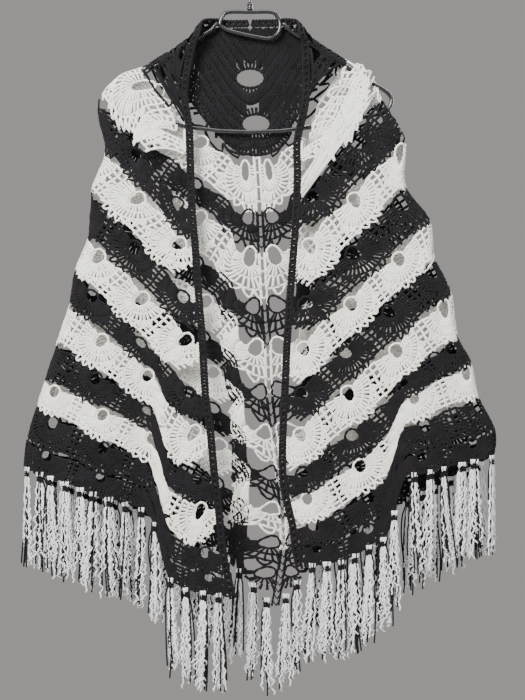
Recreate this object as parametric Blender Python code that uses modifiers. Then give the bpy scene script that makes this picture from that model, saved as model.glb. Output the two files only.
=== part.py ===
"""Black and white crochet shawl, hung over a black wire hanger.

World frame in metres: +Z up, +X to the viewer's right, the front faces -Y.
The origin is the inner top of the hanger's hook, where it rests on a rail.
"""
import math

import bmesh
import bpy
import numpy as np
from mathutils import Vector
from mathutils.geometry import delaunay_2d_cdt

MM = 0.001
SEAM_GAP = 0.3 * MM

# Hanger
WIRE_RADIUS = 3.0 * MM
HOOK_WIRE_RADIUS = 2.0 * MM
HOOK_RADIUS = 20.0 * MM  # centre line of the hook's round part
HOOK_TIP_ANGLE = -25.0  # degrees below the horizontal, on the open side
FERRULE_TOP = 62.0 * MM
FERRULE_RADIUS = 4.5 * MM
LOOP_TOP = 75.0 * MM
HANGER_HALF = 212.0 * MM
ARM_START = (45.0 * MM, 93.0 * MM)
ARM_SLOPE = 0.65
ARM_CLEARANCE = 8.5 * MM  # from the arm's centre line up to the middle of the cloth that lies on it
CROSSBAR_DROP = 255.0 * MM

# Cloth
WALL = 3.0 * MM
BANDS = 13
FAN_PITCH = 95.0 * MM
SPINE_FAN = 26.0 * MM  # from the spine to the first fan on each side of it
NECK_FAN = 62.0 * MM  # the same beside the big gaps at the neck
EDGE_FAN = 28.0 * MM  # from the last fan to the front edge
FOLD_MARGIN = 20.0 * MM  # kept free of gaps on each side of a fold
HOLE_ALONG = 11.0 * MM
HOLE_ACROSS = 13.5 * MM
HOLE_SIDES = 6
HOLE_PLACE = 0.27  # of a band's height, from its top
NECK_HOLES = ((0.66, 21.0 * MM, 14.0 * MM), (1.38, 21.0 * MM, 13.0 * MM))  # band, half width, half height
LADDER_HALF = (4.0 * MM, 5.5 * MM)
LADDER_PLACES = (0.30, 0.72)
SQUARE_HALF = 4.4 * MM  # the largest square of the ladder between two fans
SQUARE_PLACE = (0.445, 0.06)  # from a fan's gap: of the pitch along the row, of a band towards the hem
HEM_STEP = 22.0 * MM
FIELD_STEP = 48.0 * MM
PLEAT_X = {"left": -133.0 * MM, "right": 217.0 * MM}  # where the fronts step down in a steep pleat
PLEAT_HALF = 0.06  # half its width, as a share of a row
STEP_BELOW = 0.32  # the part of a step that hangs below the row's straight line, inside the pleat
STEP_EASE = 0.25  # share of a row, from the front edge, over which that part grows
PLEAT_MARGIN = 13.0 * MM  # kept free of gaps on each side of the pleat
LEAST_STEP = 8.0  # millimetres of step from which the pleat has no gaps in it
EDGE_MARGIN = 17.0 * MM  # kept free of gaps beside a front edge
SEAM_RUN = 3.0 * MM  # straight run of cloth on each side of the seam at a fold
TOP_DEPTH = 12.0 * MM  # cloth from the hanger's plane at the neck
HEM_DEPTH = 25.0 * MM
SHOULDER_BAND = 2.6  # the cloth lies on the arm down to this band
FRONT_START = 0.8  # the band where the long edge comes over the arm to the front

# Edging and fringe
EDGING_HALF_WIDTH = 5.5 * MM
EDGING_HALF_DEPTH = 3.5 * MM
EDGING_SIDES = 6
NECK_CLEARANCE = 1.7 * MM
STRIP_GAP = 0.8 * MM
STRIP_HEIGHT = 4.5 * MM
STRIP_DEPTH = 3.0 * MM
STRAND_WIDTH = 4.2 * MM
STRAND_DEPTH = 3.6 * MM
STRANDS_PER_TASSEL = 3
TASSEL_PITCH = 28.0 * MM
FRINGE_LENGTH = 144.0 * MM

# Where each band ends, in millimetres: x from the hook, drop below it, how far its middle sags, and how far
# a front steps down at its pleat. The spine is the centre back, the folds are the outer sides and the edges
# are the two front edges.
ROW_COLUMNS = ("band", "spine_x", "spine_drop", "back_bow",
               "left_fold_x", "left_fold_drop", "left_edge_x", "left_edge_drop", "left_step",
               "right_fold_x", "right_fold_drop", "right_edge_x", "right_edge_drop", "right_step")
ROWS = (
    (0.0, 0, 97, 0, 0, 97, 0, 97, 0, 0, 97, 0, 97, 0),
    (0.5, 0, 150, 4, -43, 97, -43, 97, 0, 46, 96, 46, 96, 0),
    (0.8, 0, 188, 10, -76, 94, -76, 95, 0, 77, 95, 77, 96, 0),
    (1.0, 0, 214, 15, -85, 107, -93, 130, 0, 87, 108, 89, 130, 0),
    (2.0, 10, 288, 34, -156, 157, -97, 252, 0, 142, 147, 77, 270, 0),
    (2.5, 13, 332, 25, -195, 172, -95, 310, 0, 179, 163, 77, 315, 0),
    (3.0, 15, 375, 13, -225, 205, -93, 365, 0, 195, 203, 76, 357, 0),
    (4.0, 18, 441, -11, -216, 282, -88, 425, 0, 231, 264, 72, 425, 0),
    (5.0, 22, 520, -15, -237, 345, -82, 507, 0, 232, 335, 65, 515, 0),
    (6.0, 27, 588, -32, -241, 411, -77, 567, 0, 268, 387, 61, 582, 0),
    (7.0, 30, 661, -42, -261, 462, -72, 650, 0, 276, 444, 58, 650, 0),
    (8.0, 38, 727, -60, -270, 513, -65, 702, 26, 300, 493, 55, 710, 0),
    (9.0, 46, 792, -66, -288, 570, -58, 777, 50, 310, 560, 55, 770, 14),
    (10.0, 50, 848, -78, -305, 625, -53, 815, 70, 330, 600, 61, 806, 41),
    (11.0, 51, 894, -62, -318, 665, -46, 882, 82, 341, 650, 70, 845, 63),
    (12.0, 45, 937, -50, -333, 715, -39, 920, 84, 366, 702, 74, 877, 74),
    (13.0, 38, 977, -38, -338, 757, -31, 952, 84, 365, 741, 80, 906, 80),
)

# Vertical folds of the hung cloth: place and width as shares of a row from its inner end to the fold,
# how far the cloth stands out in millimetres, and the band where the fold starts.
FOLDS = (
    ("front_left", 0.12, 0.09, 7, 5),
    ("front_left", 0.27, 0.07, 9, 8),
    ("front_left", 0.42, 0.09, -10, 5),
    ("front_left", 0.66, 0.11, 11, 3),
    ("front_right", 0.12, 0.09, 8, 7),
    ("front_right", 0.36, 0.12, -9, 4),
    ("front_right", 0.64, 0.12, 12, 3),
    ("front_right", 0.86, 0.07, -7, 6),
    ("back_left", 0.13, 0.08, 8, 8),
    ("back_left", 0.38, 0.13, -8, 4),
    ("back_left", 0.68, 0.11, 11, 5),
    ("back_right", 0.10, 0.07, -9, 8),
    ("back_right", 0.34, 0.12, 10, 5),
    ("back_right", 0.62, 0.10, -9, 4),
    ("back_right", 0.82, 0.08, 8, 6),
)

TABLE = {name: np.array([row[i] for row in ROWS], float) for i, name in enumerate(ROW_COLUMNS)}
SLOPES = {name: np.gradient(TABLE[name], TABLE["band"]) for name in ROW_COLUMNS}


def smooth_step(value, start, end):
    share = min(max((value - start) / (end - start), 0.0), 1.0)
    return share * share * (3.0 - 2.0 * share)


def column(name, band):
    """A table column at any band, on a smooth curve through its rows."""
    bands = TABLE["band"]
    i = int(np.clip(np.searchsorted(bands, band) - 1, 0, len(bands) - 2))
    span = bands[i + 1] - bands[i]
    u = (band - bands[i]) / span
    rise = 3.0 * u ** 2 - 2.0 * u ** 3
    start_turn = (u ** 3 - 2.0 * u ** 2 + u) * span
    end_turn = (u ** 3 - u ** 2) * span
    ends = TABLE[name][i] * (1.0 - rise) + TABLE[name][i + 1] * rise
    return ends + SLOPES[name][i] * start_turn + SLOPES[name][i + 1] * end_turn


def side_of(panel):
    return "left" if panel.endswith("left") else "right"


def inner_end(panel, band):
    """Inner end of a row, on the spine or on the front edge, as (x, z)."""
    if panel.startswith("back"):
        names = ("spine_x", "spine_drop")
    else:
        names = (side_of(panel) + "_edge_x", side_of(panel) + "_edge_drop")
    return np.array([column(names[0], band), -column(names[1], band)]) * MM


def outer_end(panel, band):
    """Outer end of a row, on the fold at the side or over the arm, as (x, z)."""
    side = side_of(panel)
    x = column(side + "_fold_x", band) * MM
    drop = column(side + "_fold_drop", band) * MM
    if FRONT_START < band < SHOULDER_BAND:
        drop = min(drop, ARM_START[1] + (abs(x) - ARM_START[0]) * ARM_SLOPE - ARM_CLEARANCE)
    return np.array([x, -drop])


def pleat_share(panel, band):
    """Share of a front's row, from the front edge, at which the pleat stands."""
    start = inner_end(panel, band)[0]
    end = outer_end(panel, band)[0]
    return (PLEAT_X[side_of(panel)] - start) / (end - start) if band > FRONT_START + 0.2 else 0.5


def sag(panel, band, share):
    """How far a row hangs below the straight line between its ends, at a share from its inner end.

    The back's rows are steep at the spine. The fronts step down at their pleat, by most of the step above
    the line on its outer side and the rest below the line on its inner side.
    """
    if panel.startswith("back"):
        return column("back_bow", band) * MM * 6.75 * share * (1.0 - share) ** 2
    pleat = pleat_share(panel, band)
    turn = smooth_step(share, pleat - PLEAT_HALF, pleat + PLEAT_HALF)
    below = STEP_BELOW * (1.0 - turn) * smooth_step(share, 0.0, STEP_EASE)
    above = (1.0 - STEP_BELOW) * turn * (1.0 - share) / (1.0 - pleat)
    return column(side_of(panel) + "_step", band) * MM * (below - above)


def depth(band):
    """Distance of the hung cloth from the hanger's plane."""
    return TOP_DEPTH + (HEM_DEPTH - TOP_DEPTH) * smooth_step(band, 1.5, 9.0)


def lift(panel, band):
    """How far the row's outer end stays off the hanger's plane.

    At the neck the long edge stays behind the hanger's loop; at the right shoulder the cloth
    parts round the end of the hanger, which pokes through a stretched gap of the lace.
    """
    neck = TOP_DEPTH * (1.0 - smooth_step(band, 0.5, 0.8)) if panel.startswith("back") else 0.0
    poke = 0.0
    if side_of(panel) == "right":
        poke = 5.5 * MM * smooth_step(band, 2.1, 2.5) * (1.0 - smooth_step(band, 3.6, 3.9))
    return max(neck, poke, SEAM_GAP / 2.0)


def row_length(panel, band):
    flat = float(np.linalg.norm(outer_end(panel, band) - inner_end(panel, band)))
    turn = depth(band) - SEAM_RUN
    return max(flat + SEAM_RUN + turn * (math.pi / 2.0 - 1.0), 1e-5)


def fold_relief(panel, band, share):
    total = 0.0
    for name, place, width, height, first_band in FOLDS:
        if name == panel:
            ramp = smooth_step(band, first_band, BANDS + 1.0)
            total += height * MM * ramp * math.exp(-((share - place) / width) ** 2)
    return total * smooth_step(share, 0.0, 0.06) * smooth_step(1.0 - share, 0.0, 0.12)


def flat_place(panel, band, share):
    """The point laid out flat, with its row unrolled: for measuring and for triangulation."""
    start = inner_end(panel, band)
    along = outer_end(panel, band) - start
    length = max(float(np.linalg.norm(along)), 1e-9)
    place = start + along / length * share * row_length(panel, band)
    place[1] -= sag(panel, band, share)
    return place


def cloth_point(panel, band, share):
    """The middle of the cloth at a band and a share of its row, from the inner end to the fold."""
    start = inner_end(panel, band)
    end = outer_end(panel, band)
    reach = max(float(np.linalg.norm(end - start)), 1e-9)
    from_fold = (1.0 - share) * row_length(panel, band)
    radius = depth(band) - SEAM_RUN
    angle = min(max(from_fold - SEAM_RUN, 0.0) / radius, math.pi / 2.0)
    inward = radius * (1.0 - math.cos(angle)) + max(from_fold - SEAM_RUN - radius * math.pi / 2.0, 0.0)
    out = min(from_fold, SEAM_RUN) + radius * math.sin(angle)
    at_fold = lift(panel, band)
    out = at_fold + out * (depth(band) - at_fold) / depth(band)
    out += fold_relief(panel, band, share)
    q = min(inward / reach, 1.0)
    place = end + (start - end) * q
    facing = 1.0 if panel.startswith("back") else -1.0
    return Vector((place[0], facing * out, place[1] - sag(panel, band, 1.0 - q)))


def moved_place(panel, band, share, along, across):
    """The band and share of a point moved by metres along its row and across it, towards the hem."""
    step = 1e-3
    here = flat_place(panel, band, share)
    by_share = (flat_place(panel, band, min(share + step, 1.0)) - flat_place(panel, band, share - step))
    by_share /= min(share + step, 1.0) - share + step
    by_band = (flat_place(panel, band + step, share) - here) / step
    row = by_share / np.linalg.norm(by_share)
    down = np.array([-row[1], row[0]])
    if down @ by_band < 0.0:
        down = -down
    moved = np.linalg.solve(np.column_stack([by_band, by_share]), row * along + down * across)
    return band + moved[0], share + moved[1]


def band_height(panel, band, share):
    """Height of a band at a place, square to its row."""
    by_band = flat_place(panel, band + 0.5, share) - flat_place(panel, band - 0.5, share)
    row = outer_end(panel, band) - inner_end(panel, band)
    row = row / np.linalg.norm(row)
    return abs(by_band[0] * row[1] - by_band[1] * row[0])


def ring(panel, band, share, half_along, half_across, sides, turn=0.0):
    """Corners of a gap in the lace, as places in a panel."""
    places = []
    for i in range(sides):
        angle = turn + 2.0 * math.pi * i / sides
        place = moved_place(panel, band, share, half_along * math.cos(angle), half_across * math.sin(angle))
        places.append((panel,) + place)
    return places


def fan_runs(side, band):
    """Distances from the spine at which the fans of a row stand, round the fold to the front, and their pitch."""
    total = row_length("back_" + side, band) + row_length("front_" + side, band)
    start = SPINE_FAN if band > 2.0 else NECK_FAN
    run = total - start - EDGE_FAN
    count = max(int(run / FAN_PITCH + 0.5), 1)
    return [start + run / count * k for k in range(count + 1)], run / count


def shares_in_panel(panel, band, runs):
    """Shares of a panel's row at distances from the spine, for those clear of the fold and of the pleat."""
    back = row_length("back_" + side_of(panel), band)
    if panel.startswith("back"):
        return [run / back for run in runs if run < back - FOLD_MARGIN]
    front = row_length(panel, band)
    last = back + front - EDGE_MARGIN
    shares = [1.0 - (run - back) / front for run in runs if back + FOLD_MARGIN < run < last]
    if column(side_of(panel) + "_step", band) < LEAST_STEP:
        return shares
    pleat = pleat_share(panel, band)
    return [share for share in shares if abs(share - pleat) > PLEAT_HALF + PLEAT_MARGIN / front]


def fan_rings(panel):
    """The gap of each fan, and on the fronts the largest square of the ladder beside it."""
    rings = []
    for number in range(3 if panel.startswith("front") else 2, BANDS + 1):
        band = number - 1 + HOLE_PLACE
        runs, pitch = fan_runs(side_of(panel), band)
        for share in shares_in_panel(panel, band, runs):
            half = min(HOLE_ACROSS, 0.29 * band_height(panel, band, share))
            rings.append(ring(panel, band, share, HOLE_ALONG, half, HOLE_SIDES))
        if panel.startswith("front"):
            lower = band + SQUARE_PLACE[1]
            beside = [run + pitch * SQUARE_PLACE[0] for run in runs]
            for share in shares_in_panel(panel, lower, beside):
                rings.append(ring(panel, lower, share, SQUARE_HALF * 1.414, SQUARE_HALF * 1.414, 4, math.pi / 4.0))
    return rings


def mirrored_ring(band, half_along, half_drop, sides, turn):
    """Corners of a gap that lies across the spine, its left ones in the left half."""
    places = []
    for i in range(sides):
        angle = turn + 2.0 * math.pi * i / sides
        wide = half_along * math.cos(angle)
        panel = "back_left" if wide < 0.0 else "back_right"
        lower = band + half_drop * math.sin(angle) / (inner_end(panel, band)[1] - inner_end(panel, band + 1.0)[1])
        target_z = inner_end(panel, lower)[1]
        share = abs(wide) / row_length(panel, lower)
        for _ in range(6):
            place = flat_place(panel, lower, share)
            share *= abs(wide) / max(abs(place[0] - inner_end(panel, lower)[0]), 1e-6)
            lower += (place[1] - target_z) / (inner_end(panel, lower)[1] - inner_end(panel, lower + 1.0)[1])
        places.append((panel, lower, share))
    return places


def spine_rings():
    rings = [mirrored_ring(band, wide, high, 8, math.pi / 8.0) for band, wide, high in NECK_HOLES]
    for number in range(3, BANDS + 1):
        for place in LADDER_PLACES:
            rings.append(mirrored_ring(number - 1 + place, LADDER_HALF[0] * 1.414, LADDER_HALF[1] * 1.414,
                                       4, math.pi / 4.0))
    return rings


def seam_bands(first):
    """Bands at which an edge has its points, every half band with a closer start."""
    return [first] + [band / 2.0 for band in range(int(first * 2.0) + 1, BANDS * 2 + 1)]


def turn_shares(panel, band):
    """Shares of a row that carry the cloth round the fold at the side, from the seam inwards."""
    radius = depth(band) - SEAM_RUN
    runs = (SEAM_RUN, SEAM_RUN + radius * 0.8, SEAM_RUN + radius * 1.6)
    return [1.0 - run / row_length(panel, band) for run in runs]


def seam_line(panel, bands):
    """The line beside a seam, up to which the cloth runs straight into it."""
    return [(panel, band, turn_shares(panel, band)[0]) for band in bands if band > 0.9]


def turn_points(panel, bands):
    """The other points that carry the cloth round the fold."""
    return [(panel, band, share) for band in bands if band > 0.9 for share in turn_shares(panel, band)[1:]
            if share > 0.25]


def field_points(panel):
    """Points between the fans, where one band meets the next."""
    points = []
    for number in range(2 if panel.startswith("front") else 1, BANDS):
        count = max(int(row_length(panel, number) / FIELD_STEP), 1)
        for k in range(1, count):
            points.append((panel, float(number), k / count))
            if count > 3 and number > 4:
                points.append((panel, number + 0.75, k / count))
    return points


def inside(point, polygon):
    hit = False
    x, y = point
    for (x0, y0), (x1, y1) in zip(polygon, polygon[1:] + polygon[:1]):
        if (y0 > y) != (y1 > y) and x < x0 + (y - y0) * (x1 - x0) / (y1 - y0):
            hit = not hit
    return hit


def wall_object(name, outline, rings, lines, loose, material, collection):
    """A cloth wall: the outline filled with triangles round its gaps, then given its thickness."""
    grown = [[np.array(flat_place(*place)) for place in one] for one in rings]
    centres = [sum(one) / len(one) for one in grown]
    reaches = [max(np.linalg.norm(corner - centre) for corner in one) for one, centre in zip(grown, centres)]
    kept = []
    for place in loose:
        spot = flat_place(*place)
        clear = all(np.linalg.norm(spot - centre) > reach + 3.5 * MM for centre, reach in zip(centres, reaches))
        if clear:
            kept.append(place)
    places = list(outline)
    edges = [(i, (i + 1) % len(outline)) for i in range(len(outline))]
    for one in rings:
        first = len(places)
        places.extend(one)
        edges.extend((first + i, first + (i + 1) % len(one)) for i in range(len(one)))
    for line in lines:
        first = len(places)
        places.extend(line[:-1])
        hem = places.index(line[-1])
        run = list(range(first, first + len(line) - 1)) + [hem]
        edges.extend(zip(run, run[1:]))
    places.extend(kept)
    flat = [Vector(flat_place(*place)) for place in places]
    found = delaunay_2d_cdt(flat, edges, [], 0, 1e-7)
    spots, faces, origins = found[0], found[2], found[3]
    border = [tuple(flat[i]) for i in range(len(outline))]
    gaps = [[tuple(corner) for corner in one] for one in grown]
    mesh = bpy.data.meshes.new(name)
    work = bmesh.new()
    vertices = [work.verts.new(cloth_point(*places[source[0]])) for source in origins]
    for face in faces:
        middle = sum((Vector(spots[i]) for i in face), Vector((0.0, 0.0))) / 3.0
        point = (middle[0], middle[1])
        near = [gap for gap, centre, reach in zip(gaps, centres, reaches)
                if np.linalg.norm(np.array(point) - centre) < reach]
        if inside(point, border) and not any(inside(point, gap) for gap in near):
            work.faces.new([vertices[i] for i in face])
    for vertex in [v for v in work.verts if not v.link_faces]:
        work.verts.remove(vertex)
    bmesh.ops.recalc_face_normals(work, faces=work.faces)
    work.to_mesh(mesh)
    work.free()
    wall = bpy.data.objects.new(name, mesh)
    collection.objects.link(wall)
    mesh.materials.append(material)
    shell = wall.modifiers.new("Wall", "SOLIDIFY")
    shell.thickness = WALL
    shell.offset = 0.0
    return wall


def hem_shares(panel):
    """Shares of the hem's points: even ones, then those of the turn round the fold."""
    turn = turn_shares(panel, float(BANDS))
    count = int(turn[2] * row_length(panel, BANDS) / HEM_STEP)
    return [turn[2] * k / count for k in range(count)] + [turn[2], turn[1], turn[0], 1.0]


def hem_point(panel, share):
    """A point of the wall's hem, on the straight runs between the hem's own points."""
    shares = hem_shares(panel)
    i = int(np.clip(np.searchsorted(shares, share) - 1, 0, len(shares) - 2))
    here = cloth_point(panel, BANDS, shares[i])
    along = (share - shares[i]) / (shares[i + 1] - shares[i])
    return here.lerp(cloth_point(panel, BANDS, shares[i + 1]), along)


def front_wall(side, material, collection):
    panel = "front_" + side
    bands = seam_bands(FRONT_START)
    outline = [(panel, band, 1.0) for band in bands]
    outline += [(panel, float(BANDS), share) for share in reversed(hem_shares(panel)[1:-1])]
    outline += [(panel, band, 0.0) for band in reversed(bands[1:])]
    lines = [seam_line(panel, bands)]
    loose = turn_points(panel, bands[1:-1]) + field_points(panel)
    return wall_object("shawl_front_" + side, outline, fan_rings(panel), lines, loose, material, collection)


def back_wall(material, collection):
    bands = [0.25] + seam_bands(0.65)
    outline = [("back_left", 0.0, 0.0)]
    outline += [("back_left", band, 1.0) for band in bands]
    outline += [("back_left", float(BANDS), share) for share in reversed(hem_shares("back_left")[:-1])]
    outline += [("back_right", float(BANDS), share) for share in hem_shares("back_right")[1:-1]]
    outline += [("back_right", band, 1.0) for band in reversed(bands)]
    rings = spine_rings()
    lines = []
    loose = []
    for panel in ("back_left", "back_right"):
        rings += fan_rings(panel)
        lines.append(seam_line(panel, bands))
        loose += turn_points(panel, bands[:-1]) + field_points(panel)
    return wall_object("shawl_back", outline, rings, lines, loose, material, collection)


def skin_tube(name, rings, material, collection):
    """A closed solid through rings of points, with flat ends."""
    work = bmesh.new()
    loops = [[work.verts.new(point) for point in one] for one in rings]
    for one, following in zip(loops, loops[1:]):
        for i in range(len(one)):
            j = (i + 1) % len(one)
            work.faces.new((one[i], one[j], following[j], following[i]))
    work.faces.new(list(reversed(loops[0])))
    work.faces.new(loops[-1])
    bmesh.ops.recalc_face_normals(work, faces=work.faces)
    mesh = bpy.data.meshes.new(name)
    work.to_mesh(mesh)
    work.free()
    mesh.materials.append(material)
    tube = bpy.data.objects.new(name, mesh)
    collection.objects.link(tube)
    return tube


def long_edge(side):
    """The long edge from the centre back over the arm to the front tip.

    Each entry is a point of the wall's rim, the outward normal there and the clearance beside it,
    which is wider where the edge turns over the arm.
    """
    sign = -1.0 if side == "left" else 1.0
    back = "back_" + side
    front = "front_" + side
    backward = Vector((0.0, 1.0, 0.0))
    over = Vector((sign * 0.5, 0.0, 0.85)).normalized()
    path = [(cloth_point(back, band, 1.0), backward, NECK_CLEARANCE) for band in (0.03, 0.25, 0.45)]
    path.append((cloth_point(back, 0.62, 1.0), (backward + over).normalized(), NECK_CLEARANCE))
    path.append((cloth_point(front, FRONT_START, 1.0), over, NECK_CLEARANCE))
    path.append((cloth_point(front, 0.9, 0.0), (over - backward).normalized(), NECK_CLEARANCE))
    path += [(cloth_point(front, band, 0.0), -backward, SEAM_GAP * 1.6) for band in seam_bands(FRONT_START)[1:]]
    return path


def edging(side, material, collection):
    path = long_edge(side)
    rings = []
    for i, (point, normal, clearance) in enumerate(path):
        before = path[max(i - 1, 0)][0]
        after = path[min(i + 1, len(path) - 1)][0]
        forward = (after - before).normalized()
        outward = normal.cross(forward).normalized()
        if side == "right":
            outward = -outward
        upright = forward.cross(outward).normalized()
        centre = point + outward * (EDGING_HALF_WIDTH + clearance)
        corners = []
        for k in range(EDGING_SIDES):
            angle = 2.0 * math.pi * k / EDGING_SIDES
            corners.append(centre + outward * EDGING_HALF_WIDTH * math.cos(angle)
                           + upright * EDGING_HALF_DEPTH * math.sin(angle))
        rings.append(corners)
    return skin_tube("edging_" + side, rings, material, collection)


def fringe_strip(name, panel, first_share, last_share, material, collection, first_strand):
    """Part of the fringe: a narrow strip under the hem, with its strands drawn down out of it."""
    length = row_length(panel, BANDS)
    tassels = max(int((last_share - first_share) * length / TASSEL_PITCH + 0.5), 1)
    strands = tassels * STRANDS_PER_TASSEL
    shares = [first_share + (last_share - first_share) * i / strands for i in range(strands + 1)]
    work = bmesh.new()
    sections = []
    for share in shares:
        hem = hem_point(panel, share)
        ahead = hem_point(panel, share + 0.01) - hem_point(panel, share - 0.01)
        across = Vector((ahead.z, 0.0, -ahead.x)).normalized()
        if across.z > 0.0:
            across = -across
        top = hem + across * STRIP_GAP
        bottom = top + across * STRIP_HEIGHT
        thick = Vector((0.0, STRIP_DEPTH / 2.0, 0.0))
        sections.append([work.verts.new(p) for p in (top - thick, top + thick, bottom + thick, bottom - thick)])
    roots = []
    for one, following in zip(sections, sections[1:]):
        for i in range(4):
            j = (i + 1) % 4
            face = work.faces.new((one[i], one[j], following[j], following[i]))
            if i == 2:
                roots.append(face)
    work.faces.new(sections[0])
    work.faces.new(list(reversed(sections[-1])))
    for k, root in enumerate(roots):
        draw_strand(work, root, k, first_strand + k)
    bmesh.ops.recalc_face_normals(work, faces=work.faces)
    mesh = bpy.data.meshes.new(name)
    work.to_mesh(mesh)
    work.free()
    mesh.materials.append(material)
    strip = bpy.data.objects.new(name, mesh)
    collection.objects.link(strip)
    return len(roots)


def draw_strand(work, root, place, number):
    """Draw one four-sided strand down from its root; strands of a tassel keep close together."""
    in_tassel = place % STRANDS_PER_TASSEL - (STRANDS_PER_TASSEL - 1) / 2.0
    sway = math.sin(number * 2.4)
    reach = FRINGE_LENGTH * (1.0 + 0.11 * math.sin(number * 1.7) - 0.05 * abs(in_tassel))
    centre = root.calc_center_median()
    stages = ((0.10, 1.0, -in_tassel * 1.2 * MM), (0.55, 1.1, in_tassel * 0.4 * MM + sway * 1.2 * MM),
              (1.0, 0.5, in_tassel * 1.6 * MM + sway * 2.4 * MM))
    face = root
    for share, size, shift in stages:
        face = bmesh.ops.extrude_discrete_faces(work, faces=[face])["faces"][0]
        middle = centre + Vector((shift, sway * 1.5 * MM * share, -reach * share))
        corners = sorted(face.verts, key=lambda v: (v.co - face.calc_center_median()).x)
        left = sorted(corners[:2], key=lambda v: v.co.y)
        right = sorted(corners[2:], key=lambda v: v.co.y)
        for vertex, x, y in ((left[0], -1, -1), (left[1], -1, 1), (right[0], 1, -1), (right[1], 1, 1)):
            vertex.co = middle + Vector((x * STRAND_WIDTH * size / 2.0, y * STRAND_DEPTH * size / 2.0, 0.0))


FRINGES = (
    ("fringe_front_left_1", "front_left", 0.03, 0.20),
    ("fringe_front_left_2", "front_left", 0.42, 0.66),
    ("fringe_front_left_3", "front_left", 0.68, 0.92),
    ("fringe_front_right_1", "front_right", 0.03, 0.36),
    ("fringe_front_right_2", "front_right", 0.57, 0.73),
    ("fringe_front_right_3", "front_right", 0.75, 0.92),
    ("fringe_back_left_1", "back_left", 0.05, 0.34),
    ("fringe_back_left_2", "back_left", 0.42, 0.86),
    ("fringe_back_right_1", "back_right", 0.05, 0.34),
    ("fringe_back_right_2", "back_right", 0.42, 0.86),
)


def smooth_path(points, steps, closed=False):
    """Points on a smooth curve through the route's own points."""
    count = len(points)
    spans = count if closed else count - 1
    path = []
    for i in range(spans):
        p0 = points[(i - 1) % count] if closed or i > 0 else points[0]
        p1 = points[i]
        p2 = points[(i + 1) % count]
        p3 = points[(i + 2) % count] if closed or i + 2 < count else points[count - 1]
        for step in range(steps):
            u = step / steps
            path.append(0.5 * (2.0 * p1 + (p2 - p0) * u + (2.0 * p0 - 5.0 * p1 + 4.0 * p2 - p3) * u ** 2
                               + (3.0 * p1 - p0 - 3.0 * p2 + p3) * u ** 3))
    if not closed:
        path.append(points[-1])
    return path


def tube_object(name, path, radius, closed, material, collection):
    curve = bpy.data.curves.new(name, "CURVE")
    curve.dimensions = "3D"
    curve.bevel_depth = radius
    curve.bevel_resolution = 2
    curve.use_fill_caps = True
    spline = curve.splines.new("POLY")
    spline.points.add(len(path) - 1)
    for target, point in zip(spline.points, path):
        target.co = (point.x, point.y, point.z, 1.0)
    spline.use_cyclic_u = closed
    spline.use_smooth = True
    curve.materials.append(material)
    tube = bpy.data.objects.new(name, curve)
    collection.objects.link(tube)
    return tube


def hanger_point(x, drop):
    return Vector((x, 0.0, -drop))


def hanger_frame(material, collection):
    """Both arms and the crossbar, bent from one wire whose ends butt against the neck loop."""
    start_x, start_drop = ARM_START
    butt = start_x + WIRE_RADIUS + SEAM_GAP
    ends = [hanger_point(butt, start_drop), hanger_point(butt + WIRE_RADIUS, start_drop + 0.3 * MM)]
    route = [hanger_point(x, start_drop + (x - start_x) * ARM_SLOPE) for x in (0.058, 0.090, 0.130, 0.175)]
    tip = HANGER_HALF
    route += [hanger_point(tip - 11.0 * MM, 0.1925), hanger_point(tip - 1.5 * MM, 0.2015),
              hanger_point(tip, 0.2105), hanger_point(tip - 6.0 * MM, 0.2215), hanger_point(tip - 19.0 * MM, 0.228)]
    route += [hanger_point(0.150, 0.2365), hanger_point(0.090, 0.248)]
    right = ends + smooth_path(route, 2)
    left = [Vector((-point.x, point.y, point.z)) for point in right]
    path = left + [hanger_point(0.045, 0.2533), hanger_point(0.0, CROSSBAR_DROP), hanger_point(-0.045, 0.2533)][::-1]
    path += list(reversed(right))
    return tube_object("hanger_frame", path, WIRE_RADIUS, False, material, collection)


def neck_loop(material, collection):
    """The closed loop above the arms; its lower wire slopes down to the right."""
    top = LOOP_TOP
    side_x, side_drop = ARM_START
    route = [hanger_point(-0.031, top), hanger_point(0.0, top), hanger_point(0.031, top),
             hanger_point(0.0405, 0.081), hanger_point(side_x, side_drop), hanger_point(0.042, 0.106),
             hanger_point(0.029, 0.1145), hanger_point(0.010, 0.1125), hanger_point(-0.016, 0.107),
             hanger_point(-0.036, 0.101), hanger_point(-side_x, side_drop), hanger_point(-0.0405, 0.081)]
    return tube_object("neck_loop", smooth_path(route, 3, True), WIRE_RADIUS, True, material, collection)


def hanger_hook(material, collection):
    """The hook: a round bend over the rail and a stem down into the ferrule."""
    centre = hanger_point(0.0, HOOK_RADIUS - HOOK_WIRE_RADIUS)
    path = []
    for degrees in range(int(HOOK_TIP_ANGLE), 201, 15):
        angle = math.radians(degrees)
        path.append(centre + Vector((-math.cos(angle), 0.0, math.sin(angle))) * HOOK_RADIUS)
    path += [hanger_point(0.0145, 0.032), hanger_point(0.006, 0.0415), hanger_point(0.0, 0.050),
             hanger_point(0.0, FERRULE_TOP - SEAM_GAP)]
    return tube_object("hanger_hook", path, HOOK_WIRE_RADIUS, False, material, collection)


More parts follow.
